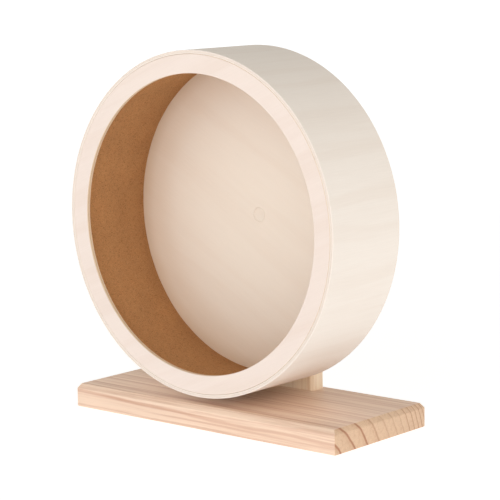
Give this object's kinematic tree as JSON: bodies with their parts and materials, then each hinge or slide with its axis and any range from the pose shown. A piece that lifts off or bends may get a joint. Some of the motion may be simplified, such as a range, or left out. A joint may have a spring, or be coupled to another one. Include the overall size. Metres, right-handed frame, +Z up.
{
  "type": "hamster wheel",
  "caption": "Free-standing wooden exercise wheel for a hamster: a plywood drum with a cork running track that spins on ball bearings in an upright post on a base board",
  "frame": {"origin": "middle of the bounding box in plan, on the resting face of the base board", "axes": "+Z up, X along the base board, the open front of the wheel faces -Y"},
  "size_m": [0.28, 0.118, 0.307],
  "materials": {
    "board_wood": "planed softwood with open end grain, unfinished",
    "post_wood": "planed softwood, unfinished",
    "dowel_wood": "fluted beech, unfinished",
    "hub_wood": "turned beech, unfinished",
    "plug_wood": "sanded birch, unfinished",
    "skin_plywood": "bent basswood plywood, fine sanded",
    "ring_plywood": "basswood plywood, fine sanded",
    "disc_plywood": "basswood plywood, fine sanded",
    "cork": "pressed fine-grain cork",
    "zinc_screw": "zinc plated",
    "insert_brass": "turned brass",
    "bolt_steel": "zinc plated steel",
    "bearing_steel": "ground bearing steel",
    "cage_steel": "pressed steel sheet"
  },
  "bodies": {
    "stand": {"base_board": "board_wood", "post": "post_wood", "post_screws": "zinc_screw", "post_dowels": "dowel_wood", "front_bearing_outer_ring": "bearing_steel", "front_bearing_shields": "cage_steel", "rear_bearing_outer_ring": "bearing_steel", "rear_bearing_shields": "cage_steel"},
    "wheel": {"axle_bolt": "bolt_steel", "axle_plug": "plug_wood", "back_disc": "disc_plywood", "bolt_washer": "bolt_steel", "cork_lining": "cork", "drum_skin": "skin_plywood", "front_bearing_inner_ring": "bearing_steel", "front_ring": "ring_plywood", "front_spacer": "bolt_steel", "hub_block": "hub_wood", "hub_screws": "zinc_screw", "middle_spacer": "bolt_steel", "rear_bearing_inner_ring": "bearing_steel", "threaded_insert": "insert_brass"},
    "front_ball_set": {"front_bearing_balls": "bearing_steel", "front_bearing_cage": "cage_steel"},
    "rear_ball_set": {"rear_bearing_balls": "bearing_steel", "rear_bearing_cage": "cage_steel"}
  },
  "joints": [
    {"name": "wheel_spin", "type": "hinge", "parent": "stand", "child": "wheel", "pos_m": [0, 0, 0.167], "axis": [0, 1, 0], "continuous": true},
    {"name": "front_balls_roll", "type": "hinge", "parent": "stand", "child": "front_ball_set", "pos_m": [0, 0, 0.167], "axis": [0, 1, 0], "continuous": true},
    {"name": "rear_balls_roll", "type": "hinge", "parent": "stand", "child": "rear_ball_set", "pos_m": [0, 0, 0.167], "axis": [0, 1, 0], "continuous": true}
  ],
  "couplings": [
    {"joint": "front_balls_roll", "follows": "wheel_spin", "ratio": 0.36773},
    {"joint": "rear_balls_roll", "follows": "wheel_spin", "ratio": 0.36773}
  ]
}
